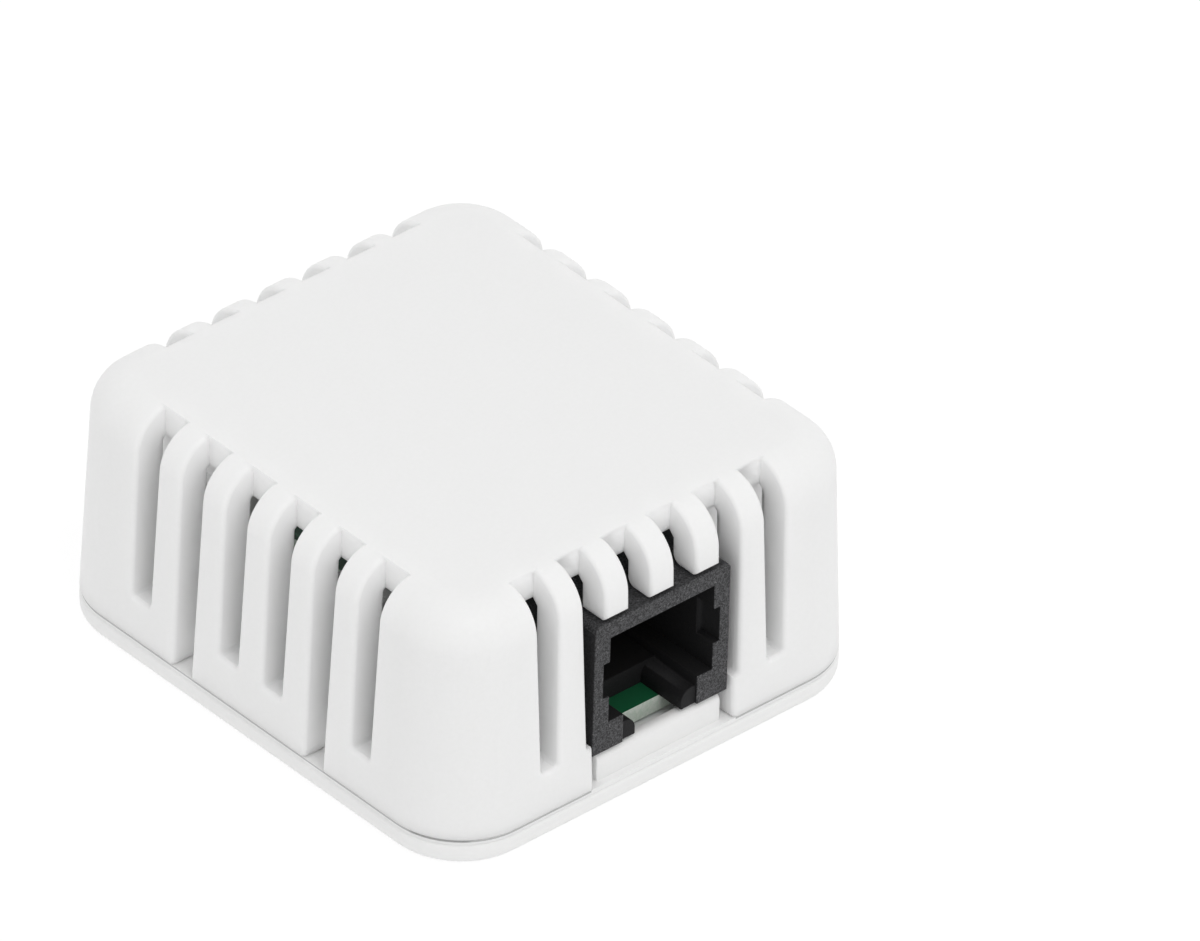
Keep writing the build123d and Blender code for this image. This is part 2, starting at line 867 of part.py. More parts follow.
# Power inductor: rounded block with a shallow well in its top
inductor_spot = board_spot(*inductor_share)
with BuildPart() as power_inductor:
    with BuildSketch(Plane.XY.offset(board_top)):
        with Locations(inductor_spot):
            RectangleRounded(inductor_side, inductor_side, inductor_corner)
    extrude(amount=inductor_height)
    with BuildSketch(Plane.XY.offset(board_top + inductor_height - inductor_well_depth)):
        with Locations(inductor_spot):
            Circle(inductor_well_radius)
    extrude(amount=inductor_well_depth + overrun, mode=Mode.SUBTRACT)
finish(power_inductor, "power_inductor")

# Protection diodes by the jack, and their end leads
diode_spots = [beside_jack_spot(*share) for share in diode_shares]
with BuildPart() as protection_diodes:
    with Locations(*[(*spot, board_top + chip_lift) for spot in diode_spots]):
        Box(
            diode_length,
            diode_width,
            diode_height,
            align=(Align.CENTER, Align.CENTER, Align.MIN),
        )
    chamfer(protection_diodes.faces().group_by(Axis.Z)[-1].edges(), diode_chamfer)
finish(protection_diodes, "protection_diodes")

diode_lead = gull_lead(
    diode_lead_reach,
    chip_lift + diode_height / 2,
    diode_lead_width,
    diode_lead_foot,
    diode_lead_gauge,
)
with BuildPart() as diode_leads:
    for spot in diode_spots:
        with Locations(*lead_places(spot, diode_length / 2, 0, 1, (0, 180))):
            add(diode_lead)
finish(diode_leads, "diode_leads")

# Resettable fuse and crystal
fuse_spot = beside_jack_spot(*fuse_share)
with BuildPart() as resettable_fuse:
    with Locations((*fuse_spot, board_top)):
        Box(
            fuse_length,
            fuse_width,
            fuse_height,
            align=(Align.CENTER, Align.CENTER, Align.MIN),
        )
finish(resettable_fuse, "resettable_fuse")

crystal_spot = board_spot(*crystal_share)
with BuildPart() as crystal_can:
    with Locations((*crystal_spot, board_top)):
        Box(
            crystal_length,
            crystal_width,
            crystal_height,
            align=(Align.CENTER, Align.CENTER, Align.MIN),
        )
    chamfer(crystal_can.edges().filter_by(Axis.Z), crystal_chamfer)
    chamfer(crystal_can.faces().sort_by(Axis.Z)[-1].edges(), crystal_chamfer)
finish(crystal_can, "crystal_can")

# Ceramic capacitors and resistors: on the board, and beside the sensor on the tongue
tongue_part_y = board_back + tongue_part_share * tongue_length
ceramic_spots = [board_spot(*share) for share in ceramic_shares]
ceramic_spots.append((-tongue_part_spread / 2, tongue_part_y))
resistor_spots = [board_spot(*share) for share in resistor_shares]
resistor_spots.append((tongue_part_spread / 2, tongue_part_y))
with BuildPart() as ceramic_capacitors:
    with Locations(*[(*spot, board_top) for spot in ceramic_spots]):
        Box(
            chip_part_length,
            chip_part_width,
            ceramic_height,
            align=(Align.CENTER, Align.CENTER, Align.MIN),
        )
finish(ceramic_capacitors, "ceramic_capacitors")

with BuildPart() as chip_resistors:
    with Locations(*[(*spot, board_top) for spot in resistor_spots]):
        Box(
            chip_part_length,
            chip_part_width,
            resistor_height,
            align=(Align.CENTER, Align.CENTER, Align.MIN),
        )
finish(chip_resistors, "chip_resistors")

# Metal end caps of the chip parts, the fuse and the status light
led_spot = board_spot(*led_share)
capped_parts = [(spot, chip_part_length, chip_part_width, ceramic_height) for spot in ceramic_spots]
capped_parts += [(spot, chip_part_length, chip_part_width, resistor_height) for spot in resistor_spots]
capped_parts.append((fuse_spot, fuse_length, fuse_width, fuse_height))
capped_parts.append((led_spot, chip_part_length, chip_part_width, led_base_height))
with BuildPart() as chip_end_caps:
    for spot, length, width, height in capped_parts:
        reach = (length + end_cap_length) / 2
        with Locations(
            (spot[0] - reach, spot[1], board_top),
            (spot[0] + reach, spot[1], board_top),
        ):
            Box(
                end_cap_length,
                width + 2 * end_cap_rise,
                height + end_cap_rise,
                align=(Align.CENTER, Align.CENTER, Align.MIN),
            )
finish(chip_end_caps, "chip_end_caps")

# Status light: flat base with a low bevelled lens
with BuildPart() as status_led:
    with Locations((*led_spot, board_top + led_base_height)):
        Box(
            led_lens_length,
            chip_part_width,
            led_lens_height,
            align=(Align.CENTER, Align.CENTER, Align.MIN),
        )
    chamfer(status_led.faces().sort_by(Axis.Z)[-1].edges(), led_lens_chamfer)
    with Locations((*led_spot, board_top)):
        Box(
            chip_part_length,
            chip_part_width,
            led_base_height,
            align=(Align.CENTER, Align.CENTER, Align.MIN),
        )
finish(status_led, "status_led")

# Programming header: block with bevelled edges and square pins through it
header_length = header_pin_count * header_pitch
with BuildPart() as header_block:
    with Locations((*header_spot, board_top)):
        Box(
            header_length,
            header_block_width,
            header_block_height,
            align=(Align.CENTER, Align.CENTER, Align.MIN),
        )
    chamfer(header_block.edges().filter_by(Axis.X).group_by(Axis.Z)[-1], header_block_chamfer)
    with Locations((*header_spot, board_top + header_block_height / 2)):
        with GridLocations(header_pitch, header_pitch, header_pin_count, 1):
            Box(
                header_pin_width + 2 * thread_gap,
                header_pin_width + 2 * thread_gap,
                header_block_height + overrun,
                mode=Mode.SUBTRACT,
            )
finish(header_block, "header_block")

with BuildPart() as header_pins:
    with BuildSketch(Plane.XY.offset(board_top - header_tail_length)):
        with Locations(header_spot):
            with GridLocations(header_pitch, header_pitch, header_pin_count, 1):
                Rectangle(header_pin_width, header_pin_width)
    extrude(amount=header_tail_length + header_pin_length)
    chamfer(header_pins.faces().group_by(Axis.Z)[-1].edges(), header_pin_width / 4)
finish(header_pins, "header_pins")

# Sensing chip on the tongue: body with a round port, membrane in it, pads along two sides
sensor_spot = (0, tongue_tip - sensor_tip_inset)
with BuildPart() as humidity_sensor:
    with Locations((*sensor_spot, board_top)):
        Box(
            sensor_side,
            sensor_side,
            sensor_height,
            align=(Align.CENTER, Align.CENTER, Align.MIN),
        )
    chamfer(humidity_sensor.faces().sort_by(Axis.Z)[-1].edges(), chip_chamfer)
    with Locations((*sensor_spot, board_top + sensor_height)):
        Cylinder(sensor_port_radius, 2 * sensor_port_depth, mode=Mode.SUBTRACT)
finish(humidity_sensor, "humidity_sensor")

with BuildPart() as sensor_membrane:
    with Locations((*sensor_spot, board_top + sensor_height - sensor_port_depth)):
        Cylinder(
            sensor_port_radius - membrane_gap,
            membrane_height,
            align=(Align.CENTER, Align.CENTER, Align.MIN),
        )
finish(sensor_membrane, "sensor_membrane")

with BuildPart() as sensor_pads:
    with Locations(
        *lead_places(sensor_spot, sensor_side / 2, sensor_pad_pitch, sensor_pad_count, (0, 180))
    ):
        Box(
            sensor_pad_length,
            sensor_pad_width,
            sensor_pad_height,
            align=(Align.MIN, Align.CENTER, Align.MIN),
        )
finish(sensor_pads, "sensor_pads")
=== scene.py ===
import math

import bpy
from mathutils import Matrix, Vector


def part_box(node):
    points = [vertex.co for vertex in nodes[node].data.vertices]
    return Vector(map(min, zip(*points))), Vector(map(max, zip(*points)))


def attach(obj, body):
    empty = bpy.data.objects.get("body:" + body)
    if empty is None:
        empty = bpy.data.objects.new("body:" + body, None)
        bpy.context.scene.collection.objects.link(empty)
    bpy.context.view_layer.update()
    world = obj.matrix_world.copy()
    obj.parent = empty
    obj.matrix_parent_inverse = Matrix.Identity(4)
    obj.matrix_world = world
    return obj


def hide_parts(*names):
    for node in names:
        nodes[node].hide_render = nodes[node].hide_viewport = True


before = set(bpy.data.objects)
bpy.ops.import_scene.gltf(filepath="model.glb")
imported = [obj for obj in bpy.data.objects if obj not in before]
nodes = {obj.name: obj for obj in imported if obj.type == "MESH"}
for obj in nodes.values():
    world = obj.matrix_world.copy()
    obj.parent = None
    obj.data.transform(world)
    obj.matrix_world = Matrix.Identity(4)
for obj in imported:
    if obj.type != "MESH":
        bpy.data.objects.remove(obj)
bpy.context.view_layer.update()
mm = 0.001
print("frame loaded:", len(nodes), "nodes")

# what every rounded copy of a node goes through, angles in degrees
meshWork = {"weld": 0.002 * mm, "flatAngle": 0.5, "smoothAngle": 40}


# helpers for selecting, copying and rounding

def selectOnly(obj):
    bpy.ops.object.select_all(action="DESELECT")
    obj.select_set(True)
    bpy.context.view_layer.objects.active = obj


def copyOfNode(nodeName, pieceName):
    source = nodes[nodeName]
    piece = source.copy()
    piece.data = source.data.copy()
    piece.name = pieceName
    piece.data.name = pieceName
    piece.parent = None
    bpy.context.collection.objects.link(piece)
    piece.matrix_world.identity()
    return piece


def cleanMesh(piece):
    # loose triangles become whole flat faces
    selectOnly(piece)
    bpy.ops.object.mode_set(mode="EDIT")
    bpy.ops.mesh.select_all(action="SELECT")
    bpy.ops.mesh.remove_doubles(threshold=meshWork["weld"])
    bpy.ops.mesh.dissolve_limited(angle_limit=math.radians(meshWork["flatAngle"]))
    bpy.ops.object.mode_set(mode="OBJECT")


def facesByEdge(mesh):
    # for each edge, the normal of each face beside it and the direction from the edge into that face
    sides = {}
    for face in mesh.polygons:
        corners = list(face.vertices)
        for first, second in zip(corners, corners[1:] + corners[:1]):
            along = mesh.vertices[second].co - mesh.vertices[first].co
            key = (min(first, second), max(first, second))
            sides.setdefault(key, []).append((face.normal, face.normal.cross(along)))
    return sides


def weighEdges(mesh, look, chosen):
    # marks the sharp outward edges, each with the share of the rounding that chosen gives it
    leastTurn = math.radians(look["edgeAngle"])
    sides = facesByEdge(mesh)
    weights = mesh.attributes.new("bevel_weight_edge", "FLOAT", "EDGE")
    for edge in mesh.edges:
        around = sides.get(edge.key, [])
        if len(around) != 2:
            continue
        (firstNormal, inward), (secondNormal, _) = around
        outwardEdge = inward.dot(secondNormal) < 0
        if outwardEdge and firstNormal.angle(secondNormal, 0.0) > leastTurn:
            start, end = (mesh.vertices[index].co for index in edge.vertices)
            share = 1.0 if chosen is None else chosen(start, end, (firstNormal, secondNormal))
            weights.data[edge.index].value = share


def soften(piece, look, chosen):
    weighEdges(piece.data, look, chosen)
    bevel = piece.modifiers.new("softEdges", "BEVEL")
    bevel.width = look["edge"]
    bevel.segments = look["segments"]
    bevel.limit_method = "WEIGHT"
    bevel.use_clamp_overlap = look.get("clamp", True)
    selectOnly(piece)
    bpy.ops.object.modifier_apply(modifier=bevel.name)
    bpy.ops.object.shade_smooth_by_angle(angle=math.radians(meshWork["smoothAngle"]))
    even = piece.modifiers.new("evenNormals", "WEIGHTED_NORMAL")
    even.keep_sharp = True
    bpy.ops.object.modifier_apply(modifier=even.name)


def softCopy(nodeName, pieceName, look, chosen=None):
    piece = copyOfNode(nodeName, pieceName)
    cleanMesh(piece)
    soften(piece, look, chosen)
    return piece


def finishPiece(piece, material, body, replaced):
    piece.data.materials.clear()
    piece.data.materials.append(material)
    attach(piece, body)
    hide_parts(replaced)


# shader node groups shared by several materials

def newGroup(name, inputs, outputs):
    group = bpy.data.node_groups.new(name, "ShaderNodeTree")
    for socketName, kind, value in inputs:
        socket = group.interface.new_socket(socketName, in_out="INPUT", socket_type=kind)
        socket.default_value = value
    for socketName, kind in outputs:
        group.interface.new_socket(socketName, in_out="OUTPUT", socket_type=kind)
    return group, group.nodes.new("NodeGroupInput"), group.nodes.new("NodeGroupOutput")


def mathNode(tree, operation, first, second=0.0):
    node = tree.nodes.new("ShaderNodeMath")
    node.operation = operation
    for socket, value in zip(node.inputs, (first, second)):
        if isinstance(value, (int, float)):
            socket.default_value = value
        else:
            tree.links.new(value, socket)
    return node.outputs[0]


def sizeOf(tree, value):
    return mathNode(tree, "ABSOLUTE", value)


def isBeyond(tree, value, limit):
    # 1 where the value, on either side of zero, is past the limit
    return mathNode(tree, "GREATER_THAN", sizeOf(tree, value), limit)


def objectCoords(tree):
    return tree.nodes.new("ShaderNodeTexCoord").outputs["Object"]


def xyzOf(tree, vector):
    parts = tree.nodes.new("ShaderNodeSeparateXYZ")
    tree.links.new(vector, parts.inputs[0])
    return parts.outputs


def noiseNode(tree, vector, scale, detail, roughness):
    node = tree.nodes.new("ShaderNodeTexNoise")
    tree.links.new(vector, node.inputs["Vector"])
    if isinstance(scale, (int, float)):
        node.inputs["Scale"].default_value = scale
    else:
        tree.links.new(scale, node.inputs["Scale"])
    node.inputs["Detail"].default_value = detail
    node.inputs["Roughness"].default_value = roughness
    return node.outputs["Fac"]


def buildMouldGrain():
    # fine spark-eroded grain of a moulded surface, with faint broad waviness
    group, start, end = newGroup(
        "mouldGrain",
        (
            ("Grain Scale", "NodeSocketFloat", 3000.0),
            ("Wave Scale", "NodeSocketFloat", 90.0),
            ("Wave Share", "NodeSocketFloat", 0.2),
        ),
        (("Height", "NodeSocketFloat"), ("Specks", "NodeSocketFloat")),
    )
    coords = objectCoords(group)
    fine = noiseNode(group, coords, start.outputs["Grain Scale"], detail=3.0, roughness=0.6)
    wave = noiseNode(group, coords, start.outputs["Wave Scale"], detail=1.0, roughness=0.4)
    waved = mathNode(group, "MULTIPLY", wave, start.outputs["Wave Share"])
    group.links.new(mathNode(group, "ADD", fine, waved), end.inputs["Height"])
    group.links.new(fine, end.inputs["Specks"])
    return group


def buildHandling():
    # broad soft patches where a part has been handled and has picked up dust
    group, start, end = newGroup(
        "handlingPatches",
        (
            ("Patch Scale", "NodeSocketFloat", 60.0),
            ("Low", "NodeSocketFloat", 0.35),
            ("High", "NodeSocketFloat", 0.7),
        ),
        (("Mask", "NodeSocketFloat"),),
    )
    scale = start.outputs["Patch Scale"]
    patches = noiseNode(group, objectCoords(group), scale, detail=4.0, roughness=0.55)
    spread = group.nodes.new("ShaderNodeMapRange")
    group.links.new(patches, spread.inputs["Value"])
    group.links.new(start.outputs["Low"], spread.inputs["From Min"])
    group.links.new(start.outputs["High"], spread.inputs["From Max"])
    group.links.new(spread.outputs["Result"], end.inputs["Mask"])
    return group


def buildDrawnLines():
    # drawn or rolled lines, long on the axis with the smallest stretch
    group, start, end = newGroup(
        "drawnLines",
        (("Stretch", "NodeSocketVector", (400.0, 6000.0, 6000.0)),),
        (("Height", "NodeSocketFloat"),),
    )
    scaled = group.nodes.new("ShaderNodeVectorMath")
    scaled.operation = "MULTIPLY"
    group.links.new(objectCoords(group), scaled.inputs[0])
    group.links.new(start.outputs["Stretch"], scaled.inputs[1])
    lines = noiseNode(group, scaled.outputs[0], 1.0, detail=3.0, roughness=0.6)
    group.links.new(lines, end.inputs["Height"])
    return group


def buildPrintedOutline():
    # a thin printed rectangle round one part of the board
    group, start, end = newGroup(
        "printedOutline",
        (
            ("Centre X", "NodeSocketFloat", 0.0),
            ("Centre Y", "NodeSocketFloat", 0.0),
            ("Half X", "NodeSocketFloat", 1.0 * mm),
            ("Half Y", "NodeSocketFloat", 1.0 * mm),
            ("Half Line", "NodeSocketFloat", 0.1 * mm),
        ),
        (("Mask", "NodeSocketFloat"),),
    )
    place = xyzOf(group, objectCoords(group))
    outside = []
    for axis in ("X", "Y"):
        shifted = mathNode(group, "SUBTRACT", place[axis], start.outputs["Centre " + axis])
        half = start.outputs["Half " + axis]
        outside.append(mathNode(group, "SUBTRACT", sizeOf(group, shifted), half))
    rim = sizeOf(group, mathNode(group, "MAXIMUM", *outside))
    group.links.new(mathNode(group, "LESS_THAN", rim, start.outputs["Half Line"]), end.inputs["Mask"])
    return group


mouldGrain = buildMouldGrain()
handlingPatches = buildHandling()
drawnLines = buildDrawnLines()
printedOutline = buildPrintedOutline()


# helpers for materials

def principledOf(tree):
    return next(node for node in tree.nodes if node.type == "BSDF_PRINCIPLED")


def newMaterial(name):
    material = bpy.data.materials.new(name)
    material.use_nodes = True
    return material, material.node_tree, principledOf(material.node_tree)


def placeGroup(tree, group, **values):
    node = tree.nodes.new("ShaderNodeGroup")
    node.node_tree = group
    for socketName, value in values.items():
        node.inputs[socketName].default_value = value
    return node


def mixColour(tree, mask, first, second):
    node = tree.nodes.new("ShaderNodeMix")
    node.data_type = "RGBA"
    tree.links.new(mask, node.inputs["Factor"])
    for socket, value in ((node.inputs[6], first), (node.inputs[7], second)):  # its two colour sockets
        if isinstance(value, tuple):
            socket.default_value = (*value, 1.0)
        else:
            tree.links.new(value, socket)
    return node.outputs[2]


def mixValue(tree, mask, first, second):
    node = tree.nodes.new("ShaderNodeMix")
    tree.links.new(mask, node.inputs["Factor"])
    node.inputs[2].default_value = first
    node.inputs[3].default_value = second
    return node.outputs[0]


def spreadBetween(tree, value, low, high):
    # 0 at low, 1 at high
    spread = tree.nodes.new("ShaderNodeMapRange")
    tree.links.new(value, spread.inputs["Value"])
    spread.inputs["From Min"].default_value = low
    spread.inputs["From Max"].default_value = high
    return spread.outputs["Result"]


def maskBetween(tree, value, low, high):
    above = mathNode(tree, "GREATER_THAN", value, low)
    return mathNode(tree, "MULTIPLY", above, mathNode(tree, "LESS_THAN", value, high))


def bumpFrom(tree, shader, height, look):
    bump = tree.nodes.new("ShaderNodeBump")
    bump.inputs["Strength"].default_value = look["bump"]
    bump.inputs["Distance"].default_value = look["depth"]
    tree.links.new(height, bump.inputs["Height"])
    tree.links.new(bump.outputs["Normal"], shader.inputs["Normal"])


# moulded plastics

plasticLooks = {
    "coverPlastic": {"dark": (0.9, 0.9, 0.895), "light": (0.94, 0.94, 0.935), "grainScale": 2600.0,
                     "waveScale": 60.0, "waveShare": 0.25, "patchScale": 70.0, "roughLow": 0.4,
                     "roughHigh": 0.47, "bump": 0.25, "depth": 0.03 * mm, "glowWeight": 0.8,
                     "glowDepth": 1.2 * mm, "shine": 0.3},
    "basePlastic": {"dark": (0.89, 0.89, 0.885), "light": (0.93, 0.93, 0.925), "grainScale": 2600.0,
                    "waveScale": 60.0, "waveShare": 0.25, "patchScale": 70.0, "roughLow": 0.42,
                    "roughHigh": 0.5, "bump": 0.25, "depth": 0.03 * mm, "glowWeight": 0.5,
                    "glowDepth": 1.0 * mm, "shine": 0.3},
    "carrierPlastic": {"dark": (0.022, 0.022, 0.024), "light": (0.04, 0.04, 0.042), "grainScale": 5200.0,
                       "waveScale": 120.0, "waveShare": 0.1, "patchScale": 200.0, "roughLow": 0.5,
                       "roughHigh": 0.65, "bump": 0.4, "depth": 0.03 * mm},
    "chipEpoxy": {"dark": (0.022, 0.022, 0.024), "light": (0.042, 0.042, 0.044), "grainScale": 9000.0,
                  "waveScale": 300.0, "waveShare": 0.2, "patchScale": 300.0, "roughLow": 0.45,
                  "roughHigh": 0.6, "bump": 0.5, "depth": 0.02 * mm},
    "footBlack": {"dark": (0.02, 0.02, 0.021), "light": (0.035, 0.035, 0.036), "grainScale": 6000.0,
                  "waveScale": 200.0, "waveShare": 0.2, "patchScale": 200.0, "roughLow": 0.4,
                  "roughHigh": 0.5, "bump": 0.3, "depth": 0.02 * mm},
    "ferriteBlock": {"dark": (0.055, 0.055, 0.06), "light": (0.13, 0.13, 0.135), "grainScale": 9000.0,
                     "waveScale": 500.0, "waveShare": 0.5, "patchScale": 400.0, "roughLow": 0.55,
                     "roughHigh": 0.75, "bump": 0.8, "depth": 0.05 * mm},
    "fuseLaminate": {"dark": (0.05, 0.14, 0.075), "light": (0.1, 0.22, 0.13), "grainScale": 7000.0,
                     "waveScale": 400.0, "waveShare": 0.3, "patchScale": 300.0, "roughLow": 0.45,
                     "roughHigh": 0.6, "bump": 0.4, "depth": 0.03 * mm},
    "ceramicTan": {"dark": (0.33, 0.24, 0.15), "light": (0.5, 0.38, 0.25), "grainScale": 9000.0,
                   "waveScale": 600.0, "waveShare": 0.3, "patchScale": 500.0, "roughLow": 0.5,
                   "roughHigh": 0.7, "bump": 0.5, "depth": 0.02 * mm},
    "resistorGlaze": {"dark": (0.018, 0.018, 0.025), "light": (0.04, 0.04, 0.05), "grainScale": 9000.0,
                      "waveScale": 600.0, "waveShare": 0.5, "patchScale": 500.0, "roughLow": 0.2,
                      "roughHigh": 0.35, "bump": 0.2, "depth": 0.02 * mm},
    "membraneFilm": {"dark": (0.72, 0.72, 0.7), "light": (0.9, 0.9, 0.88), "grainScale": 14000.0,
                     "waveScale": 2500.0, "waveShare": 0.8, "patchScale": 900.0, "roughLow": 0.8,
                     "roughHigh": 0.95, "bump": 0.8, "depth": 0.03 * mm},
}


def placeGrain(tree, look):
    return placeGroup(tree, mouldGrain, **{
        "Grain Scale": look["grainScale"],
        "Wave Scale": look["waveScale"],
        "Wave Share": look["waveShare"],
    })


def mouldedPlastic(name, look):
    # fine grain, faint shade changes in it and gloss changes in broad patches
    material, tree, shader = newMaterial(name)
    grain = placeGrain(tree, look)
    patches = placeGroup(tree, handlingPatches, **{"Patch Scale": look["patchScale"]})
    speckled = mixColour(tree, grain.outputs["Specks"], look["dark"], look["light"])
    tree.links.new(speckled, shader.inputs["Base Color"])
    gloss = mixValue(tree, patches.outputs["Mask"], look["roughLow"], look["roughHigh"])
    tree.links.new(gloss, shader.inputs["Roughness"])
    bumpFrom(tree, shader, grain.outputs["Height"], look)
    shader.inputs["Specular IOR Level"].default_value = look.get("shine", 0.5)
    shader.inputs["Subsurface Weight"].default_value = look.get("glowWeight", 0.0)
    shader.inputs["Subsurface Scale"].default_value = look.get("glowDepth", 0.0)
    shader.inputs["Subsurface Radius"].default_value = (1.0, 1.0, 1.0)
    return material


materials = {name: mouldedPlastic(name, look) for name, look in plasticLooks.items()}


# painted shade and painted light on the two white mouldings, by place

def plasticParts(material):
    # the material's tree, its shader, its plain colour and the place on the object
    tree = material.node_tree
    shader = principledOf(tree)
    plain = shader.inputs["Base Color"].links[0].from_socket
    return tree, shader, plain, xyzOf(tree, objectCoords(tree))


# the band under the cover's bottom edge where shade is painted in grey, and that grey
seamPaintedShade = {"low": 2.52 * mm, "high": 2.695 * mm, "farX": 21.2 * mm, "farY": 23.8 * mm, "sill": 8.2 * mm,
             "shade": (0.5, 0.5, 0.5)}


def paintSeamShade(material, look):
    # painted shade in the thin gap under the cover, but not on the open sill before the jack
    tree, shader, plain, place = plasticParts(material)
    inGap = maskBetween(tree, place["Z"], look["low"], look["high"])
    atEdge = mathNode(tree, "MAXIMUM", isBeyond(tree, place["X"], look["farX"]),
                      isBeyond(tree, place["Y"], look["farY"]))
    behind = mathNode(tree, "GREATER_THAN", place["Y"], 0.0)
    covered = mathNode(tree, "MAXIMUM", isBeyond(tree, place["X"], look["sill"]), behind)
    shaded = mathNode(tree, "MULTIPLY", mathNode(tree, "MULTIPLY", inGap, atEdge), covered)
    tree.links.new(mixColour(tree, shaded, plain, look["shade"]), shader.inputs["Base Color"])


coverLow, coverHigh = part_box("top_cover")
coverForm = {"low": coverLow.z, "high": coverHigh.z, "halfX": coverHigh.x, "halfY": coverHigh.y,
             "draft": 2.4, "round": 3.9 * mm}  # draft in degrees, round is the top edge's radius
# paler colours painted into the slots as light, where shade falls on walls and floors
slotPaintedLight = {"cornerX": 16.0 * mm, "cornerY": 18.6 * mm, "upright": 0.5, "near": (0.25 * mm, 0.6 * mm),
             "deep": (0.5 * mm, 1.4 * mm), "wall": (0.955, 0.955, 0.953), "pale": (0.985, 0.985, 0.983)}


def depthUnder(tree, across, height, form, half):
    # how deep a place lies under one pair of drafted sides and the rounded top edge
    rise = mathNode(tree, "SUBTRACT", height, form["low"])
    leaning = mathNode(tree, "MULTIPLY", rise, math.tan(math.radians(form["draft"])))
    outwards = mathNode(tree, "SUBTRACT", sizeOf(tree, across), half - form["round"])
    sideways = mathNode(tree, "MAXIMUM", mathNode(tree, "ADD", outwards, leaning), 0.0)
    overhead = mathNode(tree, "SUBTRACT", height, form["high"] - form["round"])
    upwards = mathNode(tree, "MAXIMUM", overhead, 0.0)
    squares = mathNode(tree, "ADD", mathNode(tree, "MULTIPLY", sideways, sideways),
                       mathNode(tree, "MULTIPLY", upwards, upwards))
    return mathNode(tree, "SUBTRACT", form["round"], mathNode(tree, "SQRT", squares))


def paintSlotLight(material, form, look):
    # painted light: the slots' walls and floors get a paler colour than the outer skin, paler still further
    # in, to lift the shade in the slots
    tree, shader, plain, place = plasticParts(material)
    depth = mathNode(tree, "MINIMUM", depthUnder(tree, place["X"], place["Z"], form, form["halfX"]),
                     depthUnder(tree, place["Y"], place["Z"], form, form["halfY"]))
    inCorner = mathNode(tree, "MULTIPLY", isBeyond(tree, place["X"], look["cornerX"]),
                        isBeyond(tree, place["Y"], look["cornerY"]))
    away = mathNode(tree, "SUBTRACT", 1.0, inCorner)  # the case's round corners have no slots
    facing = xyzOf(tree, tree.nodes.new("ShaderNodeNewGeometry").outputs["Normal"])
    upright = mathNode(tree, "LESS_THAN", sizeOf(tree, facing["Z"]), look["upright"])
    level = mathNode(tree, "SUBTRACT", 1.0, upright)
    near, deep = (mathNode(tree, "MULTIPLY", spreadBetween(tree, depth, *look[zone]), away)
                  for zone in ("near", "deep"))
    wall = mixColour(tree, mathNode(tree, "MULTIPLY", near, upright), plain, look["wall"])
    paintedPaleMask = mathNode(tree, "MAXIMUM", deep, mathNode(tree, "MULTIPLY", near, level))
    tree.links.new(mixColour(tree, paintedPaleMask, wall, look["pale"]), shader.inputs["Base Color"])


paintSeamShade(materials["basePlastic"], seamPaintedShade)
paintSlotLight(materials["coverPlastic"], coverForm, slotPaintedLight)


# metals

metalLooks = {
    "contactGold": {"dark": (0.62, 0.42, 0.13), "light": (0.86, 0.64, 0.26), "patchScale": 500.0,
                    "stretch": (6000.0, 500.0, 6000.0), "roughLow": 0.2, "roughHigh": 0.35, "bump": 0.15,
                    "depth": 0.01 * mm},
    "screwSteel": {"dark": (0.42, 0.42, 0.43), "light": (0.66, 0.66, 0.66), "patchScale": 900.0,
                   "stretch": (2500.0, 2500.0, 9000.0), "roughLow": 0.28, "roughHigh": 0.45, "bump": 0.3,
                   "depth": 0.02 * mm},
    "leadTin": {"dark": (0.5, 0.5, 0.5), "light": (0.76, 0.76, 0.75), "patchScale": 1500.0,
                "stretch": (4000.0, 4000.0, 4000.0), "roughLow": 0.22, "roughHigh": 0.42, "bump": 0.3,
                "depth": 0.01 * mm},
    "canAluminium": {"dark": (0.6, 0.6, 0.61), "light": (0.8, 0.8, 0.8), "patchScale": 400.0,
                     "stretch": (900.0, 900.0, 14000.0), "roughLow": 0.25, "roughHigh": 0.38, "bump": 0.35,
                     "depth": 0.015 * mm},
    "crystalLid": {"dark": (0.52, 0.51, 0.47), "light": (0.72, 0.7, 0.65), "patchScale": 500.0,
                   "stretch": (900.0, 9000.0, 9000.0), "roughLow": 0.25, "roughHigh": 0.4, "bump": 0.3,
                   "depth": 0.01 * mm},
}


def drawnMetal(name, look):
    # plated or rolled metal with drawn lines and dull patches
    material, tree, shader = newMaterial(name)
    lines = placeGroup(tree, drawnLines, **{"Stretch": look["stretch"]})
    patches = placeGroup(tree, handlingPatches, **{"Patch Scale": look["patchScale"]})
    tinted = mixColour(tree, patches.outputs["Mask"], look["dark"], look["light"])
    tree.links.new(tinted, shader.inputs["Base Color"])
    gloss = mixValue(tree, patches.outputs["Mask"], look["roughLow"], look["roughHigh"])
    tree.links.new(gloss, shader.inputs["Roughness"])
    shader.inputs["Metallic"].default_value = 1.0
    bumpFrom(tree, shader, lines.outputs["Height"], look)
    return material


materials.update({name: drawnMetal(name, look) for name, look in metalLooks.items()})


# black plastic of the jack

# the dark inside colours are painted shade; the sides show little of the face look as painted shade, the
# top more of it
jackLook = {"faceLine": -25.8 * mm, "inside": (0.003, 0.003, 0.0035), "insideLight": (0.009, 0.009, 0.01),
            "face": (0.012, 0.012, 0.013), "faceLight": (0.085, 0.085, 0.089), "speck": (0.2, 0.2, 0.205),
            "outerX": 7.4 * mm, "shadedSideShare": 0.3, "outerTop": 18.4 * mm, "litTopShare": 0.7,
            "grainScale": 5600.0, "waveScale": 900.0, "waveShare": 0.6,
            "mottleScale": 6500.0, "mottleLow": 0.38, "mottleHigh": 0.64,
            "speckScale": 4300.0, "speckFrom": 0.66, "speckShare": 0.6,
            "roughInside": 0.75, "roughFace": 0.62, "shine": 0.3, "bump": 0.6, "depth": 0.05 * mm}


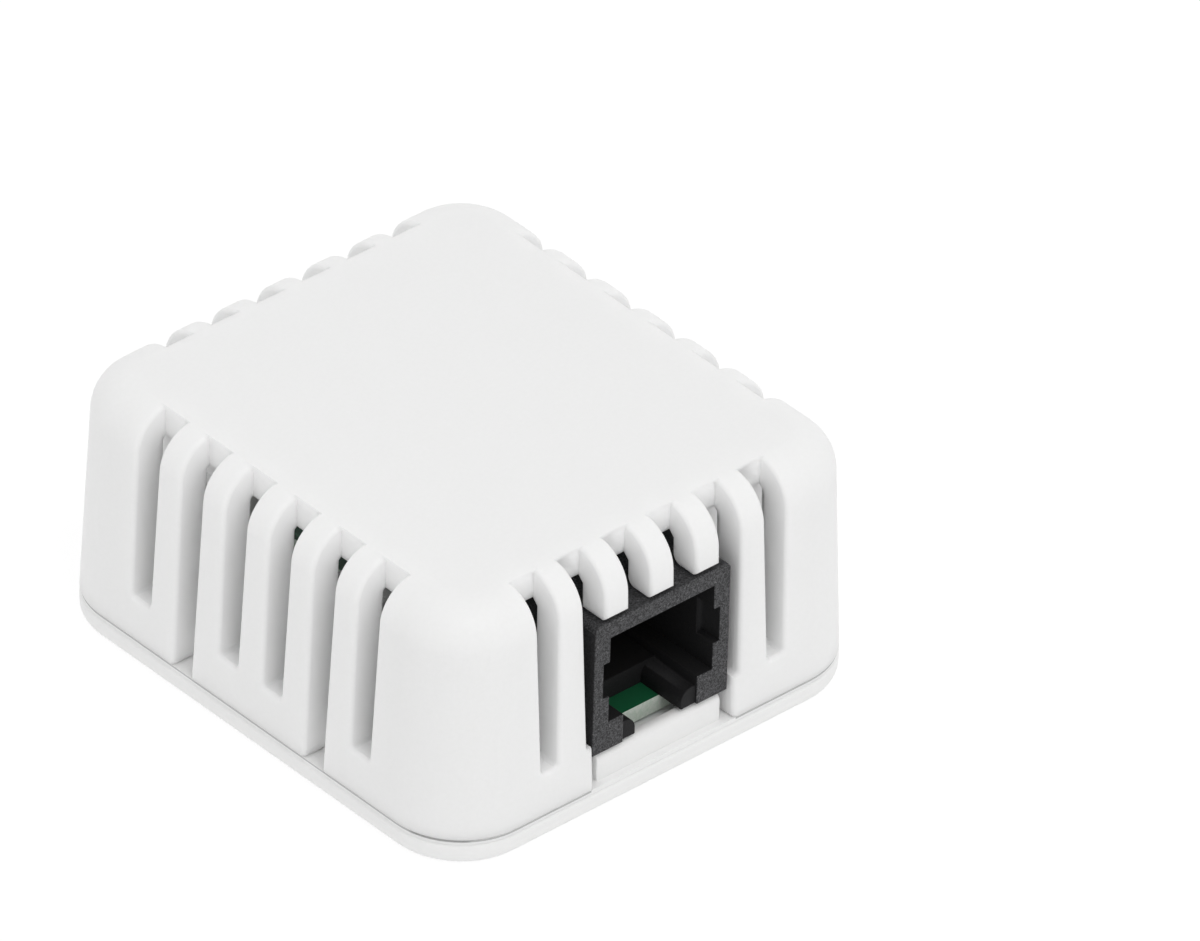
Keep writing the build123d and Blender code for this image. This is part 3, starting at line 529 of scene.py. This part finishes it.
def buildJackMaterial(look):
    # a grainy face with pale specks; the top shows much of it and the sides little, as painted shade on the
    # sides, and the inside is darker still with painted shade
    material, tree, shader = newMaterial("jackPlastic")
    coords = objectCoords(tree)
    place = xyzOf(tree, coords)
    onFace = mathNode(tree, "LESS_THAN", place["Y"], look["faceLine"])
    shadedSide = mathNode(tree, "MULTIPLY", isBeyond(tree, place["X"], look["outerX"]), look["shadedSideShare"])
    onTop = mathNode(tree, "GREATER_THAN", place["Z"], look["outerTop"])
    outer = mathNode(tree, "MAXIMUM", shadedSide, mathNode(tree, "MULTIPLY", onTop, look["litTopShare"]))
    shown = mathNode(tree, "MAXIMUM", onFace, outer)
    grain = placeGrain(tree, look)
    mottle = placeGroup(tree, handlingPatches, **{
        "Patch Scale": look["mottleScale"],
        "Low": look["mottleLow"],
        "High": look["mottleHigh"],
    })
    mottled = mixColour(tree, mottle.outputs["Mask"], look["face"], look["faceLight"])
    specks = noiseNode(tree, coords, look["speckScale"], detail=2.0, roughness=0.7)
    bright = mathNode(tree, "GREATER_THAN", specks, look["speckFrom"])
    speckMask = mathNode(tree, "MULTIPLY", bright, look["speckShare"])
    specked = mixColour(tree, speckMask, mottled, look["speck"])
    shadedInner = mixColour(tree, grain.outputs["Specks"], look["inside"], look["insideLight"])
    tree.links.new(mixColour(tree, shown, shadedInner, specked), shader.inputs["Base Color"])
    gloss = mixValue(tree, shown, look["roughInside"], look["roughFace"])
    tree.links.new(gloss, shader.inputs["Roughness"])
    shader.inputs["Specular IOR Level"].default_value = look["shine"]
    bumpFrom(tree, shader, grain.outputs["Height"], look)
    return material


materials["jackPlastic"] = buildJackMaterial(jackLook)


# the circuit board

boardLook = {"mask": (0.012, 0.12, 0.05), "paintedShadeMask": (0.006, 0.055, 0.025), "copper": (0.012, 0.11, 0.048),
             "edge": (0.96, 0.98, 0.93), "edgeDark": (0.5, 0.64, 0.52), "print": (0.78, 0.8, 0.77),
             "tabLine": -19.0 * mm, "level": 0.5,
             "tracks": {"straight": {"scale": 210.0, "width": 0.022},
                        "slanted": {"scale": 150.0, "width": 0.02}},
             "trackTurn": 45, "trackRing": 0.32, "trackScatter": 0.75,
             "fibreScale": 2600.0, "fibreHeight": 0.3,
             "roughEdge": 0.75, "roughMask": 0.28, "bump": 0.4, "depth": 0.04 * mm,
             "outlined": ("microcontroller_leads", "line_driver_leads", "regulator_leads", "capacitor_base",
                          "power_inductor", "resettable_fuse", "crystal_can", "header_block"),
             "outlineGap": 0.3 * mm, "outlineHalf": 0.07 * mm}


def trackMask(tree, vector, track, look):
    # thin square loops, each round one cell
    cells = tree.nodes.new("ShaderNodeTexVoronoi")
    cells.distance = "CHEBYCHEV"
    cells.feature = "F1"
    tree.links.new(vector, cells.inputs["Vector"])
    cells.inputs["Scale"].default_value = track["scale"]
    cells.inputs["Randomness"].default_value = look["trackScatter"]
    fromRing = mathNode(tree, "SUBTRACT", cells.outputs["Distance"], look["trackRing"])
    return mathNode(tree, "LESS_THAN", sizeOf(tree, fromRing), track["width"])


def outlineMask(tree, look):
    # the printed outlines of the parts that have one
    printed = None
    for nodeName in look["outlined"]:
        low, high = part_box(nodeName)
        middle, half = (low + high) / 2, (high - low) / 2
        outline = placeGroup(tree, printedOutline, **{
            "Centre X": middle.x,
            "Centre Y": middle.y,
            "Half X": half.x + look["outlineGap"],
            "Half Y": half.y + look["outlineGap"],
            "Half Line": look["outlineHalf"],
        }).outputs["Mask"]
        printed = outline if printed is None else mathNode(tree, "MAXIMUM", printed, outline)
    return printed


def buildBoardMaterial(look):
    # solder mask over tracks and print on the faces, with painted shade darkening the mask behind the
    # jack's tab, pale rough laminate on the cut edges
    material, tree, shader = newMaterial("boardGreen")
    coords = objectCoords(tree)
    turned = tree.nodes.new("ShaderNodeMapping")
    turned.inputs["Rotation"].default_value = (0.0, 0.0, math.radians(look["trackTurn"]))
    tree.links.new(coords, turned.inputs["Vector"])
    loops = mathNode(tree, "MAXIMUM", trackMask(tree, coords, look["tracks"]["straight"], look),
                     trackMask(tree, turned.outputs[0], look["tracks"]["slanted"], look))
    # behind this line the mask is painted darker as shade under the jack and cover; the tracks also show
    # only there
    behindTab = mathNode(tree, "GREATER_THAN", xyzOf(tree, coords)["Y"], look["tabLine"])
    tracks = mathNode(tree, "MULTIPLY", loops, behindTab)
    mask = mixColour(tree, behindTab, look["mask"], look["paintedShadeMask"])
    faces = mixColour(tree, tracks, mask, look["copper"])
    faces = mixColour(tree, outlineMask(tree, look), faces, look["print"])
    fibres = noiseNode(tree, coords, look["fibreScale"], detail=2.0, roughness=0.6)
    cut = mixColour(tree, fibres, look["edgeDark"], look["edge"])
    facing = xyzOf(tree, tree.nodes.new("ShaderNodeNewGeometry").outputs["Normal"])
    level = isBeyond(tree, facing["Z"], look["level"])
    tree.links.new(mixColour(tree, level, cut, faces), shader.inputs["Base Color"])
    gloss = mixValue(tree, level, look["roughEdge"], look["roughMask"])
    tree.links.new(gloss, shader.inputs["Roughness"])
    height = mathNode(tree, "ADD", tracks, mathNode(tree, "MULTIPLY", fibres, look["fibreHeight"]))
    bumpFrom(tree, shader, height, look)
    return material


materials["boardGreen"] = buildBoardMaterial(boardLook)


# milky lens of the status light

lensLook = {"patchScale": 1500.0, "dark": (0.72, 0.78, 0.66), "light": (0.86, 0.9, 0.8), "rough": 0.2,
            "glowWeight": 0.2, "glowDepth": 0.3 * mm}


def buildLensMaterial(look):
    material, tree, shader = newMaterial("ledLens")
    patches = placeGroup(tree, handlingPatches, **{"Patch Scale": look["patchScale"]})
    milky = mixColour(tree, patches.outputs["Mask"], look["dark"], look["light"])
    tree.links.new(milky, shader.inputs["Base Color"])
    shader.inputs["Roughness"].default_value = look["rough"]
    shader.inputs["Subsurface Weight"].default_value = look["glowWeight"]
    shader.inputs["Subsurface Scale"].default_value = look["glowDepth"]
    return material


materials["ledLens"] = buildLensMaterial(lensLook)
print("materials built:", len(materials))


# cover

cover = {"edge": 0.45 * mm, "segments": 4, "edgeAngle": 50, "clamp": False, "bottom": 3.0 * mm,
         "half": Vector((coverForm["halfX"], coverForm["halfY"], coverForm["high"] / 2)),
         "outFacing": 0.75, "inFacing": 0.7}


def coverEdge(start, end, normals):
    # the outer rims of slots, ribs and jack opening; bottom rim, slot ends and inside stay crisp
    if max(start.z, end.z) < cover["bottom"]:
        return 0.0
    middle = (start + end) / 2 - Vector((0.0, 0.0, cover["half"].z))
    place = Vector(tuple(at / half for at, half in zip(middle, cover["half"])))
    facing = sorted(normal.dot(place) for normal in normals)
    return 1.0 if facing[1] > cover["outFacing"] and facing[0] < cover["inFacing"] else 0.0


coverShell = softCopy("top_cover", "cover_shell", cover, coverEdge)
finishPiece(coverShell, materials["coverPlastic"], "cover", "top_cover")

# base

base = {"edge": 0.1 * mm, "segments": 2, "edgeAngle": 40, "strip": (2.3 * mm, 2.8 * mm), "rim": 22.5 * mm}


def baseEdge(start, end, normals):
    # all but the strip's rim, which makes the thin dark seam under the cover
    middle = (start + end) / 2
    onStrip = base["strip"][0] < middle.z < base["strip"][1]
    return 0.0 if onStrip and max(abs(middle.x), abs(middle.y)) > base["rim"] else 1.0


baseTray = softCopy("base_plate", "base_tray", base, baseEdge)
finishPiece(baseTray, materials["basePlastic"], "base", "base_plate")
print("case pieces made")

# jack

jack = {"edge": 0.07 * mm, "segments": 2, "edgeAngle": 50}
jackBody = softCopy("jack_housing", "jack_body", jack)
finishPiece(jackBody, materials["jackPlastic"], "base", "jack_housing")
print("jack made")

# smaller parts with their moulded, pressed or ground edges rounded as the real ones are
smallEdges = {"segments": 2, "edgeAngle": 50}
roundedParts = {
    "board_screws": {"piece": "cross_screws", "material": "screwSteel", "slot": "screw_steel",
                     "edge": 0.09 * mm},
    "jack_contact_carrier": {"piece": "contact_comb", "material": "carrierPlastic",
                             "slot": "carrier_plastic", "edge": 0.06 * mm},
    "jack_contacts": {"piece": "contact_wires", "material": "contactGold", "slot": "contact_gold",
                      "edge": 0.1 * mm},
    "microcontroller": {"piece": "controller_body", "material": "chipEpoxy", "slot": "chip_black",
                        "edge": 0.08 * mm},
    "line_driver": {"piece": "driver_body", "material": "chipEpoxy", "slot": "chip_black",
                    "edge": 0.07 * mm},
    "voltage_regulator": {"piece": "regulator_body", "material": "chipEpoxy", "slot": "chip_black",
                          "edge": 0.08 * mm},
    "capacitor_base": {"piece": "capacitor_foot", "material": "footBlack", "slot": "base_black",
                       "edge": 0.12 * mm},
    "capacitor_can": {"piece": "capacitor_shell", "material": "canAluminium", "slot": "can_aluminium",
                      "edge": 0.35 * mm, "segments": 4},
    "power_inductor": {"piece": "inductor_block", "material": "ferriteBlock", "slot": "ferrite",
                       "edge": 0.15 * mm},
    "protection_diodes": {"piece": "diode_bodies", "material": "chipEpoxy", "slot": "chip_black",
                          "edge": 0.06 * mm},
    "resettable_fuse": {"piece": "fuse_body", "material": "fuseLaminate", "slot": "fuse_green",
                        "edge": 0.06 * mm},
    "crystal_can": {"piece": "crystal_lid", "material": "crystalLid", "slot": "crystal_metal",
                    "edge": 0.12 * mm},
    "ceramic_capacitors": {"piece": "capacitor_chips", "material": "ceramicTan", "slot": "ceramic_tan",
                           "edge": 0.04 * mm},
    "status_led": {"piece": "led_body", "material": "ledLens", "slot": "led_lens", "edge": 0.06 * mm},
    "header_block": {"piece": "header_body", "material": "footBlack", "slot": "base_black",
                     "edge": 0.1 * mm},
    "header_pins": {"piece": "header_posts", "material": "contactGold", "slot": "contact_gold",
                    "edge": 0.09 * mm},
    "humidity_sensor": {"piece": "sensor_body", "material": "chipEpoxy", "slot": "chip_black",
                        "edge": 0.06 * mm},
}
for nodeName, look in roundedParts.items():
    rounded = softCopy(nodeName, look["piece"], {**smallEdges, **look})
    finishPiece(rounded, materials[look["material"]], "base", nodeName)
print("small parts rounded:", len(roundedParts))

# the other nodes keep their shape and get their own finish
nodeFinish = {
    "circuit_board": "boardGreen",
    "microcontroller_leads": "leadTin",
    "line_driver_leads": "leadTin",
    "regulator_leads": "leadTin",
    "diode_leads": "leadTin",
    "chip_resistors": "resistorGlaze",
    "chip_end_caps": "leadTin",
    "sensor_membrane": "membraneFilm",
    "sensor_pads": "leadTin",
}
for nodeName, materialName in nodeFinish.items():
    node = nodes[nodeName]
    if not node.material_slots:
        node.data.materials.append(materials[materialName])
    for finishSlot in node.material_slots:
        finishSlot.material = materials[materialName]
print("nodes finished:", len(nodeFinish))


# floor, surroundings and light

studio = {
    "floorSize": 4.0,
    "floorGap": 0.1 * mm,
    "floorShift": 0.6,
    "floorColour": (0.3, 0.3, 0.3),
    "floorBounce": 0.58,
    "floorGlow": 0.19,
    "ambient": 0.775,
    "background": 1.0,
    "sky": (1.0, 1.0, 1.0),
}


def seesBackground(tree):
    # camera, glossy and transmission rays see the white background
    path = tree.nodes.new("ShaderNodeLightPath")
    seen = mathNode(tree, "MAXIMUM", path.outputs["Is Camera Ray"], path.outputs["Is Glossy Ray"])
    return mathNode(tree, "MAXIMUM", seen, path.outputs["Is Transmission Ray"])


def buildFloorMaterial():
    # dull floor with an even glow, a little more of it for rays that see the background
    material = bpy.data.materials.new("studioFloor")
    material.use_nodes = True
    tree = material.node_tree
    tree.nodes.clear()
    diffuse = tree.nodes.new("ShaderNodeBsdfDiffuse")
    diffuse.inputs["Color"].default_value = (*studio["floorColour"], 1.0)
    glow = tree.nodes.new("ShaderNodeEmission")
    seen = mathNode(tree, "MULTIPLY", seesBackground(tree), studio["floorGlow"])
    tree.links.new(mathNode(tree, "ADD", seen, studio["floorBounce"]), glow.inputs["Strength"])
    both = tree.nodes.new("ShaderNodeAddShader")
    tree.links.new(diffuse.outputs[0], both.inputs[0])
    tree.links.new(glow.outputs[0], both.inputs[1])
    clear = tree.nodes.new("ShaderNodeBsdfTransparent")  # from below the part shows through the floor
    sided = tree.nodes.new("ShaderNodeMixShader")
    tree.links.new(tree.nodes.new("ShaderNodeNewGeometry").outputs["Backfacing"], sided.inputs["Fac"])
    tree.links.new(both.outputs[0], sided.inputs[1])
    tree.links.new(clear.outputs[0], sided.inputs[2])
    out = tree.nodes.new("ShaderNodeOutputMaterial")
    tree.links.new(sided.outputs[0], out.inputs["Surface"])
    return material


def addFloor():
    bpy.ops.object.select_all(action="DESELECT")
    place = (studio["floorShift"], 0.0, -studio["floorGap"])  # its diagonal stays clear of the part
    bpy.ops.mesh.primitive_plane_add(size=studio["floorSize"], location=place)
    floor = bpy.context.active_object
    floor.name = "studio_floor"
    floor.data.materials.append(buildFloorMaterial())


def addWorld():
    world = bpy.data.worlds.new("studioWorld")
    bpy.context.scene.world = world
    world.use_nodes = True
    tree = world.node_tree
    background = next(node for node in tree.nodes if node.type == "BACKGROUND")
    background.inputs["Color"].default_value = (*studio["sky"], 1.0)
    strength = mixValue(tree, seesBackground(tree), studio["ambient"], studio["background"])
    tree.links.new(strength, background.inputs["Strength"])


lamps = {
    "keyLamp": {"at": (-0.08, -0.40, 0.69), "aim": (0.0, 0.0, 0.012), "size": 0.4, "power": 1.1},
}


def addLamp(name, values):
    light = bpy.data.lights.new(name, "AREA")
    light.shape = "SQUARE"
    light.size = values["size"]
    light.energy = values["power"]
    lamp = bpy.data.objects.new(name, light)
    bpy.context.collection.objects.link(lamp)
    lamp.location = values["at"]
    towards = Vector(values["aim"]) - lamp.location
    lamp.rotation_euler = towards.to_track_quat("-Z", "Y").to_euler()


addFloor()
addWorld()
for lampName, values in lamps.items():
    addLamp(lampName, values)

# camera at the photo's viewing angle, turn in degrees, lens and sensor in millimetres
view = {"at": (-0.92639, -1.03204, 1.01522), "turn": (54.2724, -1.3256, -41.4452), "lens": 600.0,
        "sensor": 36.0, "clip": (0.05, 20.0)}
camera = bpy.data.objects.new("photoCamera", bpy.data.cameras.new("photoCamera"))
bpy.context.collection.objects.link(camera)
camera.location = view["at"]
camera.rotation_euler = tuple(math.radians(angle) for angle in view["turn"])
camera.data.lens = view["lens"]
camera.data.sensor_width = view["sensor"]
camera.data.clip_start, camera.data.clip_end = view["clip"]
bpy.context.scene.camera = camera
bpy.context.scene.view_settings.view_transform = "Standard"
print("floor, light and camera set")
